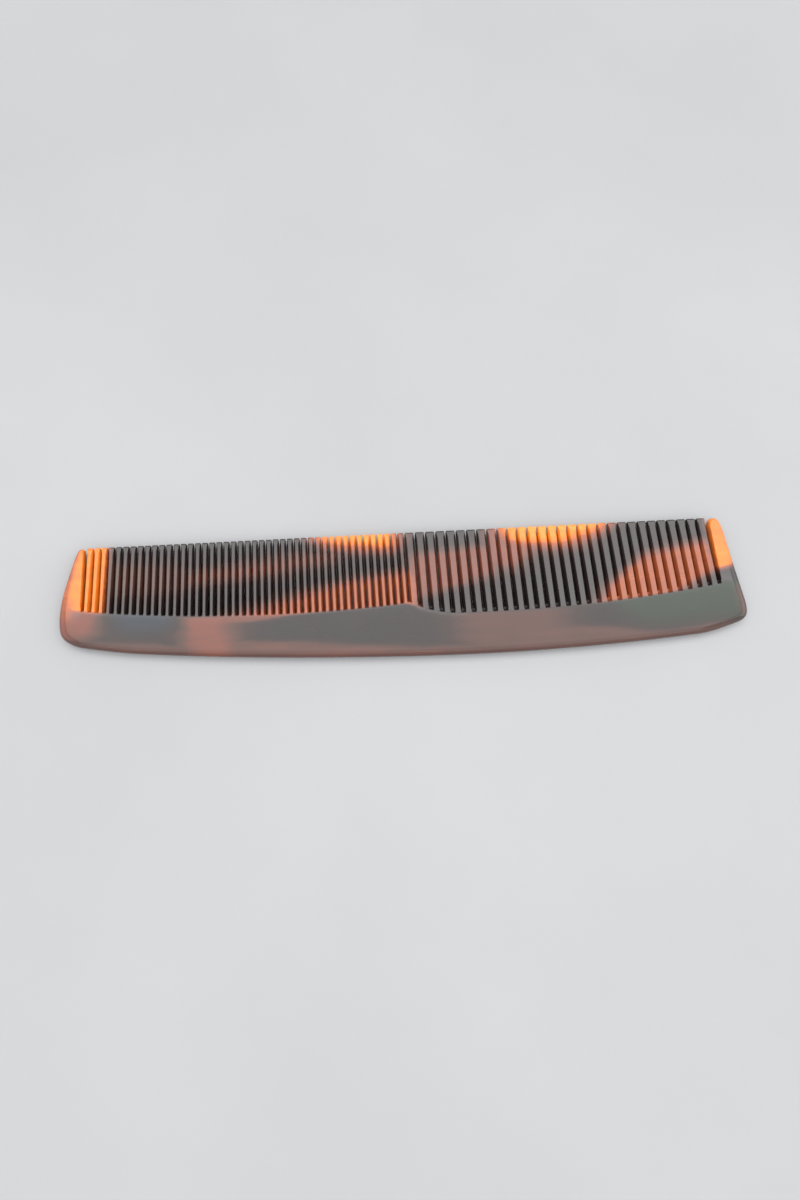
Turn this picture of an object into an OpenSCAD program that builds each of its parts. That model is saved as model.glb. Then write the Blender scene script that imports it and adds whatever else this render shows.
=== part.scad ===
// Double-density dressing comb: a straight row of fine teeth and a straight row
// of coarse teeth on one bowed back, with a solid guard at each end.
// Frame: X along the comb with the fine teeth at -X, Y from the back towards the
// tooth tips, Z through the thickness. The underside lies on z = 0 and the
// bounding box is centred on the origin in X and Y.

/* [Body] */
// Thickness of the back and of the guards where they join it
body_t = 4.2; // [3.8:0.1:4.6]
// Width of the comb from the deepest point of the back to the tooth tips
comb_w = 36; // [35:0.5:38]
// Radius of the bowed edge of the back
back_r = 820; // [780:10:900]
// Where along X the back is deepest
back_apex_x = 22; // [18:1:26]

/* [Fine teeth] */
// Number of fine teeth
fine_count = 45; // [40:1:46]
// Spacing of the fine teeth
fine_pitch = 1.95; // [1.85:0.05:2]
// Gap between two fine teeth at the root
fine_gap = 0.55; // [0.4:0.05:0.7]
// Radius of the curve that the fine gaps end on
fine_root_r = 420; // [400:10:500]
// Height of the lowest fine gap above the deepest point of the back
fine_root_h = 13.9; // [13:0.1:15]

/* [Coarse teeth] */
// Number of coarse teeth
coarse_count = 30; // [27:1:31]
// Spacing of the coarse teeth
coarse_pitch = 2.94; // [2.8:0.02:3]
// Gap between two coarse teeth at the root
coarse_gap = 0.8; // [0.6:0.05:1.1]
// Radius of the curve that the coarse gaps end on
coarse_root_r = 440; // [400:10:500]
// Height of the lowest coarse gap above the deepest point of the back
coarse_root_h = 11.4; // [11:0.1:12.4]
// Radius of the ramp that leads from the coarse gaps up to the fine ones
step_r = 30; // [26:1:34]

/* [Tooth shape] */
// Thickness of a tooth at its tip
tip_t = 2; // [1.4:0.1:2.6]
// How much wider a gap is at the tips than at the roots
gap_flare = 0.2; // [0:0.05:0.3]
// Length of the point at the end of each tooth
tip_point = 1.1; // [0.6:0.1:1.6]
// Length of the bevel on the faces of each tooth at its point
tip_bevel = 0.9; // [0.5:0.1:1.2]

/* [Guards] */
// Width of the left guard beside the last fine gap
left_guard_w = 6.55; // [6.2:0.05:7.5]
// Radius of the outer edge of the left guard
left_edge_r = 55; // [50:1:70]
// Height on the comb of the widest point of the left guard
left_edge_y = -3; // [-4:0.5:-2]
// Radius of the lower corner of the left guard
left_corner_r = 5; // [4:0.5:6]
// Width of the right guard beside the last coarse gap
right_guard_w = 7.5; // [7.2:0.05:8]
// Radius of the outer edge of the right guard
right_edge_r = 300; // [260:10:340]
// Slope of that edge where it meets the lower corner, in degrees
right_edge_a = 5; // [4:0.5:6]
// Radius of the lower corner of the right guard
right_corner_r = 2.6; // [2.4:0.1:3]
// Height of that corner's centre above the back's edge beside the guard
right_corner_h = 5.65; // [5:0.05:6.5]
// How far the lower edge rises across the right guard before the corner
right_rise = 1.9; // [1.5:0.1:2.5]
// Thickness of a guard at its tip
guard_tip_t = 2.6; // [2:0.1:3.2]
// How far the guards keep their full thickness past the middle of the comb
guard_flat_y = 5; // [3:0.5:7]

/* [Hidden] */
e = 0.01;
half_t = body_t / 2;
fine_span = fine_count * fine_pitch;
coarse_span = coarse_count * coarse_pitch;
comb_len = left_guard_w + fine_span + coarse_span + right_guard_w;
x_left = -comb_len / 2;
x_right = comb_len / 2;
y_back = -comb_w / 2;
y_tip = comb_w / 2;
// centre of the gap between the last fine tooth and the first coarse one
x_mid = x_left + left_guard_w + fine_span;
// faces where the back ends and the guards begin
x_lg = x_left + left_guard_w - fine_gap / 2;
x_rg = x_mid + coarse_span + coarse_gap / 2;
// centres of the outline's arcs
c_back = [back_apex_x, y_back + back_r];
c_fine = [x_mid - 31.3, y_back + fine_root_h + fine_root_r];
c_coarse = [x_mid + 26.7, y_back + coarse_root_h + coarse_root_r];
c_left = [x_left + left_edge_r, left_edge_y];
function unit(v) = v / norm(v);
function arc_y(c, r, x) = c[1] - sqrt(r * r - (x - c[0]) * (x - c[0]));
// the meeting point of two circles that lies on the right of the line from a to b
function meet(a, ra, b, rb) =
    let (d = norm(b - a), u = unit(b - a), k = (ra * ra - rb * rb + d * d) / (2 * d), h = sqrt(ra * ra - k * k))
    a + u * k + [u[1], -u[0]] * h;
// the same on the left of it
function meet_l(a, ra, b, rb) =
    let (d = norm(b - a), u = unit(b - a), k = (ra * ra - rb * rb + d * d) / (2 * d), h = sqrt(ra * ra - k * k))
    a + u * k - [u[1], -u[0]] * h;
// lower left corner, tangent inside the back's arc and the left edge's arc
c_lc = meet_l(c_left, left_edge_r - left_corner_r, c_back, back_r - left_corner_r);
// lower right corner, its far side on x_right
y_rg = arc_y(c_back, back_r, x_rg);
c_rc = [x_right - right_corner_r, y_rg + right_corner_h];
c_right = c_rc - (right_edge_r - right_corner_r) * [cos(right_edge_a), sin(right_edge_a)];
// ramp between the two gap lines: it ends low on the coarse line, level with it
ramp_x = x_mid + 14.7;
c_step = [ramp_x, arc_y(c_coarse, coarse_root_r, ramp_x) + step_r];

// ---- plate with a full round edge: an annular sector around c, from angle a0 to a1 ----
module round_edge_plate(c, r, depth, a0, a1, fn) {
    translate([c[0], c[1], 0])
        rotate([0, 0, a0])
            rotate_extrude(angle = a1 - a0, $fn = fn)
                union() {
                    translate([r - depth, 0]) square([depth - half_t, body_t]);
                    translate([r - half_t, half_t]) circle(r = half_t, $fn = 48);
                }
}

// area above the line on which the gaps end
module gap_area() {
    // fine side
    intersection() {
        translate(c_fine) circle(r = fine_root_r, $fn = 1440);
        translate([x_left - 5, y_back]) square([x_mid - x_left + 5, comb_w + 10]);
    }
    // ramp beside the fine teeth
    intersection() {
        translate(c_step) circle(r = step_r, $fn = 240);
        translate([x_mid - e, y_back]) square([ramp_x - x_mid + e, comb_w + 10]);
    }
    // coarse side
    intersection() {
        translate(c_coarse) circle(r = coarse_root_r, $fn = 1440);
        translate([ramp_x - e, y_back]) square([x_right + 5 - ramp_x, comb_w + 10]);
    }
}

// ---- the back ----
module spine() {
    color("#7d6660")
        difference() {
            intersection() {
                round_edge_plate(c_back, back_r, 24, -98.6, -83.6, 1440);
                translate([x_lg, y_back - 5, 0]) cube([x_rg - x_lg, comb_w, body_t]);
            }
            translate([0, 0, -1]) linear_extrude(body_t + 2) gap_area();
        }
}

// ---- guards ----
// half the thickness of a guard at height y
function guard_h(y) =
    y <= guard_flat_y ? half_t :
    half_t - (half_t - guard_tip_t / 2) * (y - guard_flat_y) / (y_tip - guard_flat_y);

// ball that rounds a guard's edge: its far side touches the arc of radius r around c
// in the direction a
module edge_ball(c, r, a, h) {
    translate([c[0] + (r - h) * cos(a), c[1] + (r - h) * sin(a), half_t])
        sphere(r = h, $fn = 32);
}

// part of a ring, from angle a0 to a1, that rounds a guard's lower corner
module corner_ring(c, r, a0, a1) {
    translate([c[0], c[1], half_t])
        rotate([0, 0, a0])
            rotate_extrude(angle = a1 - a0, $fn = 90)
                intersection() {
                    translate([r - half_t, 0]) circle(r = half_t, $fn = 32);
                    translate([0, -half_t]) square([r, body_t]);
                }
}

// flat inner face of a guard at x, from the back's edge at y0 up to the tip
module guard_inner_face(x, y0, side) {
    y1 = y_tip;
    translate([side > 0 ? x : x - e, 0, 0])
        rotate([90, 0, 90])
            linear_extrude(e) {
                translate([y0 + half_t, half_t]) circle(r = half_t, $fn = 48);
                polygon([
                    [y0 + half_t, 0],
                    [guard_flat_y, 0],
                    [y1 - 1, half_t - guard_h(y1 - 1)],
                    [y1, half_t - guard_tip_t / 5],
                    [y1, half_t + guard_tip_t / 5],
                    [y1 - 1, half_t + guard_h(y1 - 1)],
                    [guard_flat_y, body_t],
                    [y0 + half_t, body_t]
                ]);
            }
}

module left_end_guard() {
    tip_a = 180 - asin((y_tip - guard_tip_t / 2 - c_left[1]) / (left_edge_r - guard_tip_t / 2));
    flat_a = 180 - asin((guard_flat_y - c_left[1]) / left_edge_r);
    low_a = 180 + atan2(c_left[1] - c_lc[1], c_left[0] - c_lc[0]);
    back_a = 360 + atan2(c_lc[1] - c_back[1], c_lc[0] - c_back[0]);
    color("#d98a45")
        intersection() {
            translate([x_left - 1, y_back, 0]) cube([x_lg - x_left + 1, comb_w, body_t]);
            hull() {
                guard_inner_face(x_lg, arc_y(c_back, back_r, x_lg), -1);
                corner_ring(c_lc, left_corner_r, low_a, back_a);
                // outer edge, from the tip to its widest point
                for (k = [0 : 5])
                    let (a = tip_a + (180 - tip_a) * k / 5, y = c_left[1] + left_edge_r * sin(a))
                        edge_ball(c_left, left_edge_r, a, guard_h(y));
                // full thickness below guard_flat_y
                linear_extrude(body_t)
                    polygon([c_lc, c_left + (left_edge_r - half_t - 0.1) * [cos(flat_a), sin(flat_a)], [x_lg, guard_flat_y], [x_lg, c_lc[1]]]);
            }
        }
}

module right_end_guard() {
    tip_a = asin((y_tip - guard_tip_t / 2 - c_right[1]) / (right_edge_r - guard_tip_t / 2));
    flat_a = asin((guard_flat_y - c_right[1]) / right_edge_r);
    color("#8f8272")
        intersection() {
            translate([x_rg, y_back, 0]) cube([x_right - x_rg + 1, comb_w, body_t]);
            hull() {
                guard_inner_face(x_rg, y_rg, 1);
                corner_ring(c_rc, right_corner_r, -65, right_edge_a);
                // outer edge
                for (k = [0 : 4])
                    let (a = tip_a + (right_edge_a - tip_a) * k / 5, y = c_right[1] + right_edge_r * sin(a))
                        edge_ball(c_right, right_edge_r, a, guard_h(y));
                // lower edge beside the corner
                edge_ball([c_rc[0] - 1.4, y_rg + right_rise + half_t], half_t, 0, half_t);
                // full thickness below guard_flat_y
                linear_extrude(body_t)
                    polygon([[x_rg, c_rc[1]], c_rc, c_right + (right_edge_r - half_t - 0.1) * [cos(flat_a), sin(flat_a)], [x_rg, guard_flat_y]]);
            }
        }
}

// ---- teeth ----
// plan of one tooth standing on the gap line: w_root wide below, w_tip at the point
module tooth_plan(x, y0, w_root, w_tip) {
    translate([x, 0])
        polygon([
            [-w_root / 2, y0],
            [w_root / 2, y0],
            [w_tip / 2, y_tip - tip_point],
            [w_tip / 5, y_tip],
            [-w_tip / 5, y_tip],
            [-w_tip / 2, y_tip - tip_point]
        ]);
}

// side view of the teeth: they thin evenly from the back to the tips
module tooth_side(x0, x1) {
    y_a = y_back + coarse_root_h;
    rotate([90, 0, 90])
        translate([0, 0, x0])
            linear_extrude(x1 - x0)
                polygon([
                    [y_a - 1, 0],
                    [y_a, 0],
                    [y_tip - tip_bevel, (body_t - tip_t) / 2],
                    [y_tip, body_t / 2 - 0.35],
                    [y_tip, body_t / 2 + 0.35],
                    [y_tip - tip_bevel, (body_t + tip_t) / 2],
                    [y_a, body_t],
                    [y_a - 1, body_t]
                ]);
}

module fine_teeth() {
    color("#5a3a30")
        intersection() {
            linear_extrude(body_t)
                intersection() {
                    for (i = [0 : fine_count - 1])
                        tooth_plan(x_mid - (i + 0.5) * fine_pitch, y_back + fine_root_h - 0.5, fine_pitch - fine_gap, fine_pitch - fine_gap - gap_flare);
                    gap_area();
                }
            tooth_side(x_left, x_mid);
        }
}

module coarse_teeth() {
    color("#6b4a3f")
        intersection() {
            linear_extrude(body_t)
                intersection() {
                    for (i = [0 : coarse_count - 1])
                        tooth_plan(x_mid + (i + 0.5) * coarse_pitch, y_back + coarse_root_h - 0.5, coarse_pitch - coarse_gap, coarse_pitch - coarse_gap - gap_flare);
                    gap_area();
                }
            tooth_side(x_mid, x_right);
        }
}

spine();
left_end_guard();
right_end_guard();
fine_teeth();
coarse_teeth();
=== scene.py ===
import math

import bmesh
import bpy
import numpy as np
from mathutils import Matrix, Vector
from mathutils.geometry import delaunay_2d_cdt


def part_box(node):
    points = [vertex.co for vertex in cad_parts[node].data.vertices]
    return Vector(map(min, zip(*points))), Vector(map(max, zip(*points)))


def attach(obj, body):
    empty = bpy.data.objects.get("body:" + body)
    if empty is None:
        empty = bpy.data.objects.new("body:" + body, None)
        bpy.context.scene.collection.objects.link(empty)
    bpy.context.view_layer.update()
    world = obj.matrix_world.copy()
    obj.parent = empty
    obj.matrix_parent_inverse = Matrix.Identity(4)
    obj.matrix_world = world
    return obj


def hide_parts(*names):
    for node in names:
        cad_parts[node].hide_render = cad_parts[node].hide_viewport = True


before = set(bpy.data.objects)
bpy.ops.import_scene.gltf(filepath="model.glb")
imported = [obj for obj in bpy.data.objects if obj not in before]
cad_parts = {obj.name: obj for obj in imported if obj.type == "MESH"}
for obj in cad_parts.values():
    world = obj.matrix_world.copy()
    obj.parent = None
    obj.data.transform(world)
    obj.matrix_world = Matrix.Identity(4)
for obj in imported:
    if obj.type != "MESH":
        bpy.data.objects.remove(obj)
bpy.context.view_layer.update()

MM = 0.001
scene = bpy.context.scene

# ---------------------------------------------------------------- camera
# The comb lies flat. The camera looks down on it from the side of the back, about
# 15 degrees off the vertical, with a wide lens close to the comb.
_vx = Vector((0.9963175, -0.0556537, 0.0652236))
_vy = Vector((-0.0728422, -0.9506782, 0.3015045))
_n = Vector((-0.0452268, 0.3051453, 0.9512313))
_a = math.radians(2.66)
_xc, _yc, _zc = _vx, _vy * math.cos(_a) - _n * math.sin(_a), -_vy * math.sin(_a) - _n * math.cos(_a)
right = Vector((_xc[0], _yc[0], _zc[0])).normalized()
down = Vector((_xc[1], _yc[1], _zc[1]))
down = (down - right * down.dot(right)).normalized()
forward = right.cross(down).normalized()
cam_data = bpy.data.cameras.new("camera")
cam_data.sensor_fit = "AUTO"
cam_data.sensor_width = 36
cam_data.lens = 702 / 1200 * 36
cam_data.clip_start, cam_data.clip_end = 0.01, 20
cam = bpy.data.objects.new("camera", cam_data)
scene.collection.objects.link(cam)
m = Matrix.Identity(4)
for r in range(3):
    m[r][0], m[r][1], m[r][2] = right[r], -down[r], -forward[r]
m.translation = Vector((-15.8, -51.5, 189.7)) * MM
cam.matrix_world = m
scene.camera = cam

# ---------------------------------------------------------------- sizes, in millimetres, from the frame
lo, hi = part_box("spine")
X_LG, X_RG = lo.x / MM, hi.x / MM
T = hi.z / MM
H0 = T / 2
Y_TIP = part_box("coarse_teeth")[1].y / MM
X_MID = -0.7
FINE_N, FINE_PITCH, FINE_GAP = 45, 1.95, 0.55
COARSE_N, COARSE_PITCH, COARSE_GAP = 30, 2.94, 0.8


def smooth(t):
    t = min(max(t, 0.0), 1.0)
    return t * t * (3 - 2 * t)


def mix(a, b, t):
    return a + (b - a) * t


def y_back(x):
    """the bowed edge of the back; it lifts a little towards either guard"""
    y = 802 - math.sqrt(820**2 - (x - 22) ** 2) + 0.38 * math.exp(-(((x + 22) / 42) ** 2))
    if x > 79:
        y = max(y, 21.89 - math.sqrt(38**2 - (x - 76.36) ** 2))
    if x < -74:
        y += 0.69 * ((-74 - x) / 14.725) ** 1.6
    return y


def y_root(x):
    """the line on which the gaps end: fine arc, small peak, ramp, coarse arc"""
    if x < X_MID:
        return 415.9 - math.sqrt(420**2 - (x + 32) ** 2) + 0.34 * math.exp((x - X_MID) / 1.6)
    if x < 14:
        return 23.56 - math.sqrt(900 - (x - 14) ** 2)
    return 433.4 - math.sqrt(440**2 - (x - 26) ** 2)


EDGE_W = 3.2  # how far the rounding of the back's edge reaches in
RING = [0, 3, 8, 15, 23, 32, 42, 52, 62, 71, 79, 85, 90]  # degrees round that edge


def ring_profile(w, h):
    """(inset, height over the middle) from the parting line to the face, upper half"""
    out = [(-0.035, 0.0), (-0.035, 0.07)]
    for d in RING:
        t = math.radians(d)
        c, s = math.cos(t), math.sin(t)
        # a little fuller than an ellipse
        k = (abs(c) ** 2.15 + abs(s) ** 2.15) ** (-1 / 2.15)
        z = h * s * k
        if d == 0:
            z = 0.1
        out.append((w * (1 - c * k), max(z, 0.1)))
    return out


def add_mesh(name, verts, faces, mat, sharp=38):
    mesh = bpy.data.meshes.new(name)
    mesh.from_pydata([(x * MM, y * MM, z * MM) for x, y, z in verts], [], faces)
    bm = bmesh.new()
    bm.from_mesh(mesh)
    bmesh.ops.remove_doubles(bm, verts=bm.verts, dist=1e-8)
    bmesh.ops.recalc_face_normals(bm, faces=bm.faces)
    open_edges = sum(1 for e in bm.edges if len(e.link_faces) != 2)
    bm.to_mesh(mesh)
    bm.free()
    for p in mesh.polygons:
        p.use_smooth = True
    mesh.set_sharp_from_angle(angle=math.radians(sharp))
    obj = bpy.data.objects.new(name, mesh)
    scene.collection.objects.link(obj)
    obj.data.materials.append(mat)
    wn = obj.modifiers.new("normals", "WEIGHTED_NORMAL")
    wn.keep_sharp = True
    wn.weight = 60
    bpy.context.view_layer.objects.active = obj
    obj.select_set(True)
    bpy.ops.object.modifier_apply(modifier=wn.name)
    obj.select_set(False)
    print("mesh", name, len(mesh.vertices), "vertices, open or shared edges", open_edges)
    return obj


# ---------------------------------------------------------------- the back
def spine_section(x):
    """closed section of the back at x: list of (y, z over the middle), from the parting line up and round"""
    yb, yr = y_back(x), y_root(x)
    k = smooth((x - X_MID - 0.2) / 6.5)  # 0 beside the fine teeth, 1 beside the coarse ones
    e = mix(0.34, 0.62, k)
    zl = mix(0.75, 1.05, k)
    ledge = mix(0.12, 0.66, k)
    dip = 0.07 * ledge  # the ledge falls a little towards the gap
    top = [(yb + d, z) for d, z in ring_profile(EDGE_W, H0)]
    y0, y1 = yb + EDGE_W, yr - 0.42
    n = 8
    for i in range(1, n):
        top.append((mix(y0, y1, i / n), H0))
    top += [
        (y1, H0),
        (yr - 0.26, H0 - 0.012),
        (yr - 0.13, H0 - 0.05),
        (yr - 0.04, H0 - 0.12),
        (yr + 0.03, H0 - 0.22),
        (yr + e * 0.5, mix(H0 - 0.22, zl, 0.5)),
        (yr + e, zl + 0.04),
        (yr + e + 0.06, zl),
        (yr + e + ledge - 0.05, zl - dip),
        (yr + e + ledge, zl - dip - 0.04),
        (yr + e + ledge + 0.05, zl - dip - 0.14),
        (yr + e + ledge + 0.12, 0.0),
    ]
    bottom = [(y, -z) for y, z in reversed(top[1:-1])]
    return top + bottom


def make_spine(mat):
    xs = [X_LG]
    while xs[-1] < X_RG - 0.5:
        x = xs[-1]
        xs.append(x + (0.35 if X_MID - 4 < x < X_MID + 16 else 0.7))
    xs[-1] = X_RG
    verts, faces = [], []
    n = None
    for x in xs:
        sec = spine_section(x)
        n = len(sec)
        verts += [(x, y, z + H0) for y, z in sec]
    for j in range(len(xs) - 1):
        a, b = j * n, (j + 1) * n
        for i in range(n):
            i2 = (i + 1) % n
            faces.append((a + i, a + i2, b + i2, b + i))
    faces.append(tuple(range(n)))
    faces.append(tuple(reversed(range((len(xs) - 1) * n, len(xs) * n))))
    return add_mesh("comb_spine", verts, faces, mat)


# ---------------------------------------------------------------- guards
def guard_half(y):
    """half the thickness of a guard: full at the back, thinning evenly to the tip"""
    s = (H0 - 1.3) / (Y_TIP + 1)
    t = y + 1
    if t <= -2:
        return H0
    if t < 2:  # soft start of the slope
        return H0 - s * (t + 2) ** 2 / 8
    return H0 - s * t


def spline(points, step):
    """points along a centripetal Catmull-Rom curve through the given ones"""
    p = [Vector(q) for q in points]
    p = [p[0] * 2 - p[1]] + p + [p[-1] * 2 - p[-2]]
    out = []
    for i in range(1, len(p) - 2):
        p0, p1, p2, p3 = p[i - 1 : i + 3]
        t0 = 0.0
        t1 = t0 + (p1 - p0).length ** 0.5
        t2 = t1 + (p2 - p1).length ** 0.5
        t3 = t2 + (p3 - p2).length ** 0.5
        n = max(1, round((p2 - p1).length / step))
        for k in range(n):
            t = t1 + (t2 - t1) * k / n
            a1 = p0 * ((t1 - t) / (t1 - t0)) + p1 * ((t - t0) / (t1 - t0))
            a2 = p1 * ((t2 - t) / (t2 - t1)) + p2 * ((t - t1) / (t2 - t1))
            a3 = p2 * ((t3 - t) / (t3 - t2)) + p3 * ((t - t2) / (t3 - t2))
            b1 = a1 * ((t2 - t) / (t2 - t0)) + a2 * ((t - t0) / (t2 - t0))
            b2 = a2 * ((t3 - t) / (t3 - t1)) + a3 * ((t - t1) / (t3 - t1))
            out.append(b1 * ((t2 - t) / (t2 - t1)) + b2 * ((t - t1) / (t2 - t1)))
    out.append(p[-2])
    return out


def even(points, step):
    """the same line with evenly spaced points"""
    d = [0.0]
    for a, b in zip(points, points[1:]):
        d.append(d[-1] + (b - a).length)
    n = max(2, round(d[-1] / step))
    out, j = [], 0
    for k in range(n + 1):
        s = d[-1] * k / n
        while j < len(d) - 2 and d[j + 1] < s:
            j += 1
        f = (s - d[j]) / max(d[j + 1] - d[j], 1e-9)
        out.append(points[j].lerp(points[j + 1], min(max(f, 0), 1)))
    return out


def relax(points, times):
    for _ in range(times):
        points = [points[0]] + [
            (points[i - 1] + points[i] * 2 + points[i + 1]) / 4 for i in range(1, len(points) - 1)
        ] + [points[-1]]
    return points


def make_guard(name, side, outer, wall, x_seam, tip_w, mat):
    """outer: from the seam on the back's edge round the corner to the tip; wall: from the tip down the inner face"""
    pts = relax(even(spline(outer, 0.15), 0.38), 4)
    wall_pts = even(spline(wall, 0.15), 0.38)
    line = pts + wall_pts[1:]
    n_out = len(pts)
    y_seam_top = y_root(x_seam) + 1.6
    # inward normals
    cen = Vector((x_seam + side * 3, 0))
    nor = []
    for i, p in enumerate(line):
        a, b = line[max(i - 1, 0)], line[min(i + 1, len(line) - 1)]
        t = (b - a).normalized()
        q = Vector((-t.y, t.x)) * (1 if side > 0 else -1)
        nor.append(q)
    nor[0] = Vector((0, 1))
    for i in range(1, 8):
        nor[i] = nor[0].lerp(nor[i], smooth(i / 8)).normalized()
    # width of the rounding at each point
    wid = []
    for i, p in enumerate(line):
        if i < n_out:
            w = mix(EDGE_W, tip_w, smooth((p.y + 6) / 22))
            if p.y < -4:
                w = EDGE_W
        else:
            w = tip_w
        wid.append(w)
    # the inner face has a small rounding
    for i in range(n_out - 1, len(line)):
        w = mix(0.34, tip_w, smooth((line[i].y - (Y_TIP - 2.6)) / 2.0))
        if line[i].y < y_seam_top:
            w = mix(0.02, 0.34, smooth((line[i].y - y_root(x_seam)) / 1.6))
        wid[i] = min(wid[i], w)
    # seam with the back: no rounding at all
    y_lo = line[0].y + EDGE_W + 0.3
    y_hi = line[-1].y
    n_seam = 16
    seam = [Vector((x_seam, mix(y_hi, y_lo, k / n_seam))) for k in range(1, n_seam + 1)]
    line += seam
    nor += [Vector((side, 0))] * len(seam)
    wid += [0.0] * len(seam)
    n = len(line)
    prof = [ring_profile(1.0, 1.0)] * n
    k_n = len(ring_profile(1, 1))
    verts, rings = [], []
    for k in range(k_n):
        ring = []
        for i in range(n):
            w = wid[i]
            d, z = ring_profile(max(w, 1e-4), 1.0)[k]
            if w == 0.0:
                d = 0.0
            else:
                d = d if w > 0.3 else max(d, 0) * min(1, w / 0.3)
            p = line[i] + nor[i] * d
            h = guard_half(p.y)
            zz = z if k < 2 else (0.1 if k == 2 else max(0.1, z * h))
            if k < 2:
                zz = (0.0, 0.07)[k]
            ring.append(len(verts))
            verts.append((p.x, p.y, zz))
        rings.append(ring)
    faces = []
    for k in range(k_n - 1):
        a, b = rings[k], rings[k + 1]
        for i in range(n):
            j = (i + 1) % n
            faces.append((a[i], a[j], b[j], b[i]))
    # the face inside the last ring
    inner = [Vector(verts[i][:2]) for i in rings[-1]]
    extra = []
    lo_x = min(p.x for p in inner)
    hi_x = max(p.x for p in inner)
    yy = -17.0
    while yy < 18:
        xx = lo_x + 0.5
        while xx < hi_x:
            q = Vector((xx, yy))
            inside, near = False, 9e9
            for a, b in zip(inner, inner[1:] + inner[:1]):
                if (a.y > q.y) != (b.y > q.y) and q.x < (b.x - a.x) * (q.y - a.y) / (b.y - a.y) + a.x:
                    inside = not inside
                ab = b - a
                f = min(max((q - a).dot(ab) / max(ab.length_squared, 1e-12), 0), 1)
                near = min(near, (a + ab * f - q).length)
            if inside and near > 0.45:
                extra.append(q)
            xx += 0.9
        yy += 0.9
    ni = len(inner)
    res = delaunay_2d_cdt(inner + extra, [], [list(range(ni))], 1, 1e-7)
    out_v, out_f, orig = res[0], res[2], res[3]
    index = []
    for v, o in zip(out_v, orig):
        ring_ids = [q for q in o if q < ni]
        if ring_ids:
            index.append(rings[-1][ring_ids[0]])
        else:
            index.append(len(verts))
            verts.append((v.x, v.y, guard_half(v.y)))
    for f in out_f:
        faces.append(tuple(index[q] for q in f))
    # mirror for the underside; the parting line's points are shared
    n_top = len(verts)
    base = set(rings[0])
    low = {}
    for i in range(n_top):
        if i in base:
            low[i] = i
        else:
            low[i] = len(verts)
            x, y, z = verts[i]
            verts.append((x, y, -z))
    faces += [tuple(low[q] for q in reversed(f)) for f in faces]
    faces = [f for f in faces if len(set(f)) > 2]
    return add_mesh(name, [(x, y, z + H0) for x, y, z in verts], faces, mat, 38)


LEFT_OUTER = [
    (X_LG, y_back(X_LG)), (-89.9, -9.42), (-91.2, -8.85), (-92.5, -8.05), (-93.4, -7.3), (-94.1, -6.3), (-94.55, -4.6),
    (-94.76, -1.65), (-94.45, 2.5), (-93.8, 6.1), (-93.0, 9.2), (-92.25, 11.9), (-91.55, 14.4), (-91.0, 16.3),
    (-90.65, 17.15), (-90.25, 17.7), (-89.8, 17.93), (-89.4, 17.95), (-89.1, 17.85), (-88.95, 17.45),
]
LEFT_WALL = [(-88.95, 17.45), (-88.9, 16.2), (-88.86, 13), (-88.8, 7), (X_LG, y_root(X_LG) + 1.4), (X_LG, y_root(X_LG))]
RIGHT_OUTER = [
    (X_RG, y_back(X_RG)), (88.9, -14.05), (90.4, -13.62), (91.9, -13.15), (93.2, -12.6), (94.1, -11.8), (94.6, -10.6),
    (94.76, -9.0), (94.68, -7.4), (94.4, -5.2), (94.06, -2.5), (93.7, 0.2), (93.35, 3.0), (93.0, 5.8), (92.68, 8.7),
    (92.36, 11.6), (92.0, 14.3), (91.6, 16.2), (91.15, 17.2), (90.5, 17.8), (89.7, 17.98), (88.95, 17.75), (88.4, 17.1),
]
RIGHT_WALL = [(88.4, 17.1), (88.14, 16.1), (88.06, 13), (87.98, 7), (X_RG, y_root(X_RG) + 1.4), (X_RG, y_root(X_RG))]


# ---------------------------------------------------------------- teeth
LAND = 0.40  # half height of the straight strip at a tooth's parting line


def tooth_section(am, at, h, r):
    """closed section (x, z over the middle) of a tooth: half widths am at the parting line
    and at on the face, half thickness h, corner radius r"""
    land = min(LAND, 0.3 * h)
    p0, p1 = Vector((am, land)), Vector((at, h))
    r = min(r, 0.45 * at, 0.45 * (h - land))
    b0 = p1 + (p0 - p1).normalized() * r
    b1 = p1 + Vector((-r, 0))
    arc = [b0 * (1 - t) ** 2 + p1 * 2 * t * (1 - t) + b1 * t * t for t in (0, 0.25, 0.5, 0.75, 1)]
    q = [(am, 0.0), (am, land), tuple(p0.lerp(b0, 0.5))] + [tuple(v) for v in arc] + [(0.0, h + 0.004)]
    left = [(-x, z) for x, z in reversed(q[:-1])]
    top = q + left
    return top + [(x, -z) for x, z in reversed(top[1:-1])]


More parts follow.
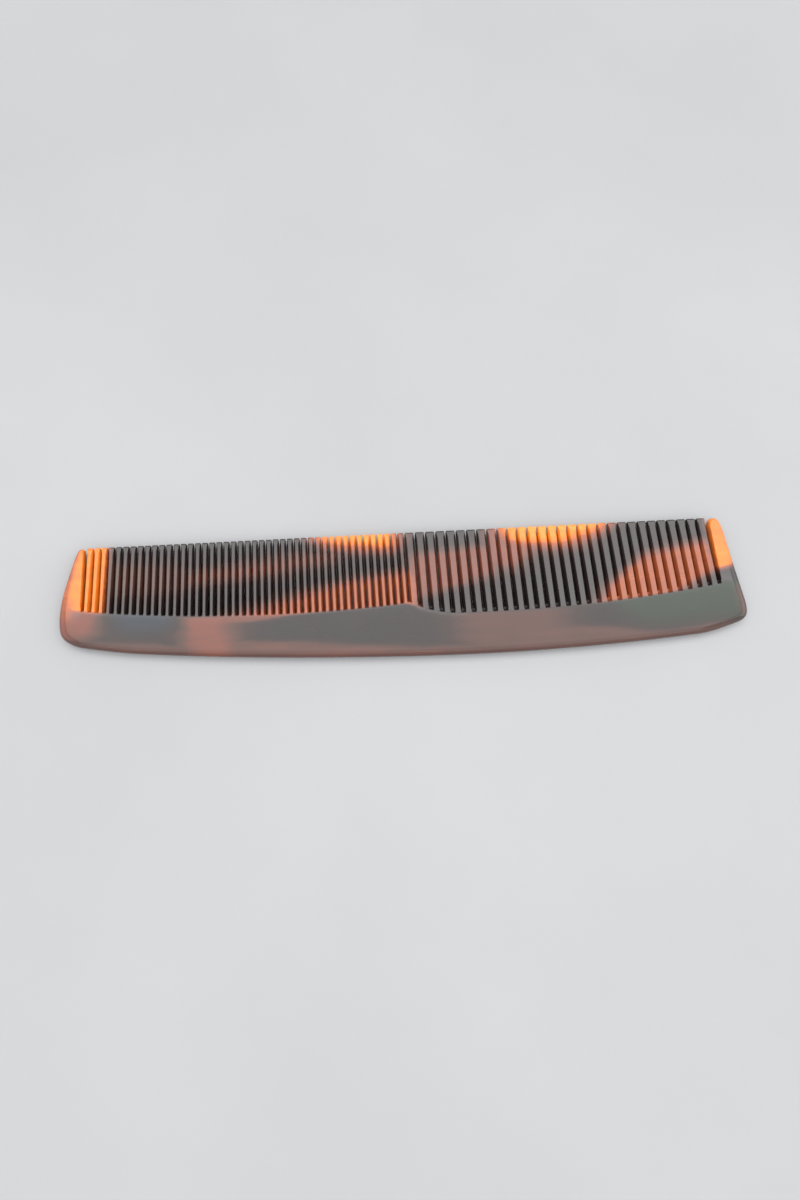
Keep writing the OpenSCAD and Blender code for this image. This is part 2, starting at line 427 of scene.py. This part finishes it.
def make_teeth(name, count, pitch, gap_mid, face_w, side, mat, seed):
    """gap_mid: gap between two teeth at the parting line; face_w: width of a tooth's flat face at the back"""
    rng = np.random.RandomState(seed)
    verts, faces = [], []
    am0 = (pitch - gap_mid) / 2
    slope = (am0 - face_w / 2) / (H0 - 0.1 - LAND)
    for i in range(count):
        x = X_MID + side * (i + 0.5) * pitch + rng.uniform(-0.012, 0.012)
        yr = y_root(x)
        tip = Y_TIP - 0.005 - abs(rng.normal(0, 0.015))
        ys = [yr - 1.0, yr - 0.6, yr - 0.3, yr - 0.02, yr + 0.15, yr + 0.35, yr + 0.65, yr + 1.1, yr + 1.8]
        bevel, pt = 2.2, 0.50
        y_bev, y_end = tip - bevel, tip - pt
        m_n = 6
        ys += [mix(yr + 1.8, y_bev, k / m_n) for k in range(1, m_n + 1)]
        secs = []

        def body(y):
            t = min(max((y - yr) / (y_end - yr), 0), 1)
            h = mix(H0 - 0.012, 1.0, t)
            b = smooth((y - y_bev) / (y_end - y_bev))
            h -= 0.07 * b * b
            am = am0 - 0.03 * t
            at = mix(face_w / 2, am - slope * (h - LAND), 0.30)
            at = mix(at, am - 0.09, 0.85 * b)
            return am, at, h

        for y in ys:
            am, at, h = body(y)
            if y > yr - 0.05:
                f = math.exp(-max(y - yr, 0) / 0.30)
                am, at = min(am + 0.10 * f, pitch / 2 - 0.02), at + 0.16 * f
            else:
                am, at = am + 0.05, at + 0.10
            if y < yr - 0.8:
                h = H0 - 0.4
            secs.append((y, am, at, h))
        for k in range(1, 6):
            y = mix(y_bev, y_end, k / 5)
            secs.append((y, *body(y)))
        am1, at1, h1 = body(y_end)
        for a in (18, 34, 48, 60, 70, 79, 87):
            sn, c = math.sin(math.radians(a)), math.cos(math.radians(a))
            k = (abs(sn) ** 2.4 + abs(c) ** 2.4) ** (-1 / 2.4)
            f = c * k
            am = am1 * (0.62 + 0.38 * f)
            h = h1 * (0.34 + 0.66 * f)
            secs.append((y_end + pt * sn * k, am, am - 0.09 * (0.4 + 0.6 * f), h))
        base = len(verts)
        n = None
        for y, am, at, h in secs:
            sec = tooth_section(am, at, h, 0.17)
            n = len(sec)
            verts += [(x + u, y, z + H0) for u, z in sec]
        for j in range(len(secs) - 1):
            p, q = base + j * n, base + (j + 1) * n
            for k in range(n):
                k2 = (k + 1) % n
                faces.append((p + k, p + k2, q + k2, q + k))
        faces.append(tuple(base + k for k in range(n)))
        faces.append(tuple(base + (len(secs) - 1) * n + k for k in reversed(range(n))))
    return add_mesh(name, verts, faces, mat, 50)


# ---------------------------------------------------------------- materials
class Tree:
    def __init__(self, name):
        self.mat = bpy.data.materials.new(name)
        self.mat.use_nodes = True
        self.t = self.mat.node_tree
        self.bsdf = self.t.nodes["Principled BSDF"]

    def node(self, kind, **props):
        n = self.t.nodes.new(kind)
        for k, v in props.items():
            setattr(n, k, v)
        return n

    def link(self, a, b):
        self.t.links.new(a, b)

    def put(self, socket, v):
        if isinstance(v, bpy.types.NodeSocket):
            self.link(v, socket)
        else:
            socket.default_value = v

    def math(self, op, a, b=None, c=None, clamp=False):
        n = self.node("ShaderNodeMath", operation=op, use_clamp=clamp)
        for s, v in zip(n.inputs, (a, b, c)):
            if v is not None:
                self.put(s, v)
        return n.outputs[0]

    def vec(self, op, a, b=None, scale=None):
        n = self.node("ShaderNodeVectorMath", operation=op)
        self.put(n.inputs[0], a)
        if b is not None:
            self.put(n.inputs[1], b)
        if scale is not None:
            self.put(n.inputs["Scale"], scale)
        return n.outputs["Value"] if op in ("LENGTH", "DOT_PRODUCT") else n.outputs[0]

    def noise(self, v, scale, detail=2.0, rough=0.5, dist=0.0):
        n = self.node("ShaderNodeTexNoise", noise_dimensions="3D")
        self.put(n.inputs["Vector"], v)
        n.inputs["Scale"].default_value = scale
        n.inputs["Detail"].default_value = detail
        n.inputs["Roughness"].default_value = rough
        n.inputs["Distortion"].default_value = dist
        return n

    def remap(self, v, a, b, c=0.0, d=1.0, kind="SMOOTHSTEP"):
        n = self.node("ShaderNodeMapRange", interpolation_type=kind)
        self.put(n.inputs["Value"], v)
        for s, x in (("From Min", a), ("From Max", b), ("To Min", c), ("To Max", d)):
            n.inputs[s].default_value = x
        return n.outputs["Result"]

    def patch(self, v, points, soft):
        """1 inside a convex outline, fading to 0 across a border soft millimetres wide"""
        pts = [Vector(p) for p in points]
        c = sum(pts, Vector((0, 0))) / len(pts)
        out = None
        for a, b in zip(pts, pts[1:] + pts[:1]):
            d = (b - a).normalized()
            n = Vector((-d.y, d.x))
            if (c - a).dot(n) < 0:
                n = -n
            s = self.vec("DOT_PRODUCT", v, (n.x, n.y, 0.0))
            k = self.remap(s, a.dot(n) - soft / 2, a.dot(n) + soft / 2)
            out = k if out is None else self.math("MULTIPLY", out, k)
        return out

    def ramp(self, v, stops):
        n = self.node("ShaderNodeValToRGB")
        e = n.color_ramp.elements
        while len(e) < len(stops):
            e.new(0.5)
        for el, (p, c) in zip(e, stops):
            el.position, el.color = p, (*c, 1)
        self.link(v, n.inputs[0])
        return n.outputs[0]


def tortoiseshell():
    t = Tree("tortoiseshell_acetate")
    co = t.node("ShaderNodeTexCoord").outputs["Object"]
    p = t.vec("SCALE", co, scale=1000.0)  # millimetres
    # flow of the streaks: long along the comb
    flow = t.vec("MULTIPLY", p, (0.32, 1.0, 0.55))
    n1 = t.noise(flow, 0.11, 2.0, 0.5)
    w1 = t.vec("MULTIPLY", t.vec("SUBTRACT", n1.outputs["Color"], (0.5, 0.5, 0.5)), (8.0, 2.4, 0.0))
    n2 = t.noise(flow, 0.5, 2.0, 0.5)
    w2 = t.vec("MULTIPLY", t.vec("SUBTRACT", n2.outputs["Color"], (0.5, 0.5, 0.5)), (1.3, 0.5, 0.0))
    q = t.vec("ADD", t.vec("ADD", p, w1), w2)
    # 1 among the teeth, 0 on the back: each side of the gap line has its own run of streaks
    flat = t.vec("MULTIPLY", p, (1.0, 1.0, 0.0))
    px = t.vec("DOT_PRODUCT", p, (1.0, 0.0, 0.0))
    fine_in = t.math("SUBTRACT", 420.0, t.vec("LENGTH", t.vec("SUBTRACT", flat, (-32.0, 415.9, 0.0))))
    coarse_in = t.math("SUBTRACT", 440.0, t.vec("LENGTH", t.vec("SUBTRACT", flat, (26.0, 433.4, 0.0))))
    side = t.remap(px, -3.0, 6.0)
    into = t.math("ADD", t.math("MULTIPLY", fine_in, t.math("SUBTRACT", 1.0, side)), t.math("MULTIPLY", coarse_in, side))
    among = t.remap(into, -0.9, 0.5)
    rim = t.remap(px, -89.6, -92.0)
    among = t.math("ADD", t.math("MULTIPLY", among, t.math("SUBTRACT", 1.0, rim)), t.math("MULTIPLY", t.remap(into, -6.0, 5.0), rim))
    back = t.math("SUBTRACT", 1.0, among)

    calm = t.vec("ADD", p, t.vec("SCALE", w2, scale=0.6))

    def layers(items):
        out = None
        for pts, amount, soft, *still in items:
            v = t.math("MULTIPLY", t.patch(calm if still else q, pts, soft), amount)
            # patches that overlap run together softly
            out = v if out is None else t.math("SMOOTH_MAX", out, v, 0.12)
        return out

    # patches: outline in millimetres, how light, width of the border
    on_teeth = layers([
        ([(-99, -8), (-84.0, -8), (-84.0, 23), (-99, 23)], 0.76, 3.0, True),
        ([(-95.0, -4), (-82.0, -4), (-81.4, 23), (-90.4, 23)], 0.87, 4.4, True),         # left guard and the first fine teeth
        ([(-91, 10), (-83.5, 10), (-83.5, 26), (-91, 26)], 0.99, 12.0),
        ([(-86, 2), (-58, 1.0), (-58, 13), (-86, 16)], 0.40, 11.0),                  # faint red among the fine teeth
        ([(-64, 3.5), (-40, 4), (-16, 9.5), (-16, 17), (-40, 14.5), (-64, 11)], 0.51, 10.0),
        ([(-57, -12), (-56, -4), (-14, 7.2), (4, 8.8), (4, -12)], 0.69, 9.0),        # roots of the fine teeth
        ([(-32, 28), (-28, 13.0), (-6, 9.8), (-0.5, 9.6), (-0.5, 28)], 0.91, 13.0),  # amber tips of the fine teeth
        ([(-1.4, -4), (-1.4, 14.0), (12, 15.0), (28, 16), (28, 4), (12, -2)], 0.57, 10.0),   # first coarse teeth
        ([(20, 25), (21, 6), (31, 3), (39, 11), (33, 25)], 0.60, 9.0),
        ([(19, 28), (25, 10.8), (37, 7.8), (46, 8.0), (61, 14.6), (69, 28)], 0.91, 14.0),   # amber tips of the coarse teeth
        ([(43, -12), (51, -3), (62, 8.0), (74, 11.5), (89, 13), (91, 0), (80, -5), (70, -12)], 0.70, 9.0),  # red-orange
        ([(86.4, 28), (86.8, 1.2), (90.5, 1.4), (94.2, 3), (92.6, 28)], 0.87, 4.0, True),  # right guard
    ])
    on_back = layers([
        ([(-99, -10), (-84, -10), (-78, 6), (-99, 6)], 0.57, 11.0),                   # below the left guard
        ([(-95, -24), (-95, -6), (-80, -7), (-66, -8.5), (-58, -24)], 0.42, 8.0),    # its corner
        ([(-66, 6), (-45, 6), (-43, -7), (-44, -24), (-60, -24), (-68, -9)], 0.555, 21.0),  # salmon
        ([(-62, -24), (-62, -10), (-40, -10.5), (10, -15.6), (10, -24)], 0.45, 4.0),  # under the grey lens
        ([(-60, 6), (-60, -8), (-46, -6.6), (-34, -5.4), (-22, -4.0), (-14, 6)], 0.52, 3.0),  # over it
        ([(92.5, -20), (90.5, -9), (93.5, -1), (99, -1), (99, -20)], 0.43, 6.0),     # right corner
        ([(9, 6), (46, 6), (50, -24), (8, -24)], 0.415, 22.0),                      # middle of the back
        ([(26, -24), (26, -8.2), (56, -11.6), (84, -15.0), (90, -24)], 0.42, 6.5),   # wedge towards the right
    ])
    total = t.math("ADD", t.math("MULTIPLY", on_teeth, among), t.math("MULTIPLY", on_back, back))
    cut = t.math("MULTIPLY", t.patch(q, [(-81, 6), (-65, 6), (-61, -7), (-66, -8.5), (-79, -5.5)], 8.0), 0.85)
    total = t.math("MULTIPLY", total, t.math("SUBTRACT", 1.0, t.math("MULTIPLY", cut, back)))
    # brown along the lower edge, following its curve
    depth = t.math("SUBTRACT", 820.0, t.vec("LENGTH", t.vec("SUBTRACT", t.vec("MULTIPLY", q, (1.0, 1.0, 0.0)), (22.0, 802.0, 0.0))))
    total = t.math("SMOOTH_MAX", total, t.math("MULTIPLY", t.remap(depth, 5.2, 0.6), 0.43), 0.08)
    # fine streaking inside every patch
    s1 = t.noise(t.vec("MULTIPLY", q, (0.14, 1.0, 0.8)), 0.55, 2.0, 0.5).outputs["Fac"]
    s2 = t.noise(t.vec("MULTIPLY", q, (0.30, 1.0, 0.8)), 2.2, 2.0, 0.5).outputs["Fac"]
    fine = t.math("ADD", t.math("MULTIPLY", t.math("SUBTRACT", s1, 0.5), 0.10), t.math("MULTIPLY", t.math("SUBTRACT", s2, 0.5), 0.02))
    total = t.math("ADD", total, fine, clamp=True)
    colour = t.ramp(total, [
        (0.00, (0.013, 0.010, 0.010)),
        (0.25, (0.023, 0.013, 0.011)),
        (0.44, (0.060, 0.025, 0.018)),
        (0.60, (0.135, 0.038, 0.022)),
        (0.75, (0.270, 0.064, 0.018)),
        (0.88, (0.560, 0.150, 0.012)),
        (1.00, (0.780, 0.300, 0.030)),
    ])
    # the dark of the back turns a little green to the right, a little blue near the left end
    for pts, soft, tint in (
        ([(46, 8), (99, 8), (99, -11), (62, -12)], 9.0, (0.0, 0.013, 0.003)),
        ([(-81, 6), (-68, 6), (-64, -5), (-69, -7), (-79, -5)], 6.0, (0.0, 0.009, 0.016)),
    ):
        add = t.node("ShaderNodeMix", data_type="RGBA", blend_type="ADD")
        t.link(t.math("MULTIPLY", t.patch(calm, pts, soft), t.math("MULTIPLY", back, t.remap(total, 0.45, 0.15))), add.inputs["Factor"])
        t.link(colour, add.inputs["A"])
        add.inputs["B"].default_value = (*tint, 1)
        colour = add.outputs["Result"]
    # tiny pale specks and pores in the polish
    vor = t.node("ShaderNodeTexVoronoi", feature="F1")
    t.link(p, vor.inputs["Vector"])
    vor.inputs["Scale"].default_value = 0.42
    keep = t.remap(t.vec("DOT_PRODUCT", vor.outputs["Color"], (1.0, 0.0, 0.0)), 0.93, 0.95)
    speck = t.math("MULTIPLY", t.remap(vor.outputs["Distance"], 0.065, 0.02), keep)
    mixer = t.node("ShaderNodeMix", data_type="RGBA")
    t.link(t.math("MULTIPLY", speck, 0.35), mixer.inputs["Factor"])
    t.link(colour, mixer.inputs["A"])
    mixer.inputs["B"].default_value = (0.42, 0.40, 0.36, 1)
    t.link(mixer.outputs["Result"], t.bsdf.inputs["Base Color"])
    # polish: slight waves, fine lines along the comb, pores
    wave = t.noise(t.vec("MULTIPLY", p, (0.35, 1.0, 1.0)), 0.12, 1.0, 0.4).outputs["Fac"]
    lines = t.noise(t.vec("MULTIPLY", p, (0.06, 1.6, 1.6)), 3.2, 2.0, 0.6).outputs["Fac"]
    grain = t.noise(p, 9.0, 2.0, 0.6).outputs["Fac"]
    height = t.math("ADD", t.math("MULTIPLY", wave, 0.022), t.math("MULTIPLY", lines, 0.0011))
    height = t.math("ADD", height, t.math("MULTIPLY", grain, 0.0004))
    height = t.math("SUBTRACT", height, t.math("MULTIPLY", speck, 0.004))
    bump = t.node("ShaderNodeBump")
    bump.inputs["Strength"].default_value = 1.0
    bump.inputs["Distance"].default_value = MM
    t.link(height, bump.inputs["Height"])
    t.link(bump.outputs[0], t.bsdf.inputs["Normal"])
    rough = t.math("ADD", t.math("MULTIPLY", t.remap(lines, 0.35, 0.75, 0.0, 1.0), 0.05), t.math("MULTIPLY", t.remap(wave, 0.3, 0.7), 0.03))
    # the light parts among the teeth are a little less polished
    rough = t.math("ADD", rough, t.math("MULTIPLY", t.remap(total, 0.55, 0.85, 0.0, 0.20), among))
    t.link(t.math("ADD", rough, 0.10), t.bsdf.inputs["Roughness"])
    t.bsdf.inputs["IOR"].default_value = 1.49
    t.link(t.remap(total, 0.45, 0.95, 0.05, 0.42), t.bsdf.inputs["Subsurface Weight"])
    t.bsdf.inputs["Subsurface Radius"].default_value = (1.0, 0.35, 0.12)
    t.bsdf.inputs["Subsurface Scale"].default_value = 0.0022
    return t.mat


shell = tortoiseshell()

pieces = {}
pieces["spine"] = make_spine(shell)
pieces["left_end_guard"] = make_guard("comb_left_end_guard", -1, LEFT_OUTER, LEFT_WALL, X_LG, 0.72, shell)
pieces["right_end_guard"] = make_guard("comb_right_end_guard", 1, RIGHT_OUTER, RIGHT_WALL, X_RG, 1.0, shell)
pieces["fine_teeth"] = make_teeth("comb_fine_teeth", FINE_N, FINE_PITCH, 0.20, 0.70, -1, shell, 3)
pieces["coarse_teeth"] = make_teeth("comb_coarse_teeth", COARSE_N, COARSE_PITCH, 0.28, 1.46, 1, shell, 5)
for node, piece in pieces.items():
    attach(piece, "root")
    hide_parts(node)

# ---------------------------------------------------------------- floor
ft = Tree("pale_table")
fp = ft.vec("SCALE", ft.node("ShaderNodeTexCoord").outputs["Object"], scale=1.0)
cloud = ft.noise(fp, 9.0, 4.0, 0.55).outputs["Fac"]
ft.link(ft.ramp(cloud, [(0.3, (0.252, 0.253, 0.257)), (0.7, (0.272, 0.273, 0.278))]), ft.bsdf.inputs["Base Color"])
ft.bsdf.inputs["Roughness"].default_value = 0.55
mesh = bpy.data.meshes.new("floor")
bm = bmesh.new()
bmesh.ops.create_grid(bm, x_segments=8, y_segments=8, size=2.5)
bm.to_mesh(mesh)
bm.free()
floor = bpy.data.objects.new("floor", mesh)
floor.location = (0, 0, -0.00005)
scene.collection.objects.link(floor)
mesh.materials.append(ft.mat)


# ---------------------------------------------------------------- light
def area(name, at, to, size_x, size_y, power, spread=math.pi, colour=(1, 1, 1)):
    d = bpy.data.lights.new(name, "AREA")
    d.shape = "RECTANGLE"
    d.size, d.size_y = size_x, size_y
    d.energy = power
    d.spread = spread
    d.color = colour
    o = bpy.data.objects.new(name, d)
    o.location = at
    o.rotation_euler = (Vector(to) - Vector(at)).to_track_quat("-Z", "Y").to_euler()
    scene.collection.objects.link(o)
    return o


def softbox(name, at, to, w, h, luminance, colour=(1, 1, 1)):
    return area(name, at, to, w, h, luminance * math.pi * w * h, colour=colour)


softbox("overhead", (0.02, -0.22, 1.0), (0.02, -0.22, 0.0), 1.9, 1.10, 2.4)
softbox("overhead_rear", (0.02, 0.53, 0.98), (0.02, 0.53, 0.0), 1.8, 0.48, 3.7)
softbox("front", (0.0, -1.0, 0.80), (0.0, 0.0, 0.0), 1.8, 0.60, 1.5)
softbox("right", (1.25, 0.0, 0.70), (0.0, 0.0, 0.0), 1.6, 0.8, 1.7)
softbox("left", (-1.25, 0.0, 0.70), (0.0, 0.0, 0.0), 1.6, 0.8, 0.9)
world = bpy.data.worlds.new("world")
world.use_nodes = True
wt = world.node_tree
bg = wt.nodes["Background"]
bg.inputs[0].default_value = (0.95, 0.97, 1.0, 1)
# pale room: brighter round the horizon than overhead
wc = wt.nodes.new("ShaderNodeTexCoord")
ws = wt.nodes.new("ShaderNodeSeparateXYZ")
wm = wt.nodes.new("ShaderNodeMapRange")
wm.interpolation_type = "SMOOTHSTEP"
for k, v in (("From Min", 0.15), ("From Max", 0.9), ("To Min", 1.4), ("To Max", 0.50)):
    wm.inputs[k].default_value = v
wt.links.new(wc.outputs["Generated"], ws.inputs[0])
wt.links.new(ws.outputs["Z"], wm.inputs["Value"])
wt.links.new(wm.outputs["Result"], bg.inputs[1])
scene.world = world
scene.view_settings.view_transform = "Standard"
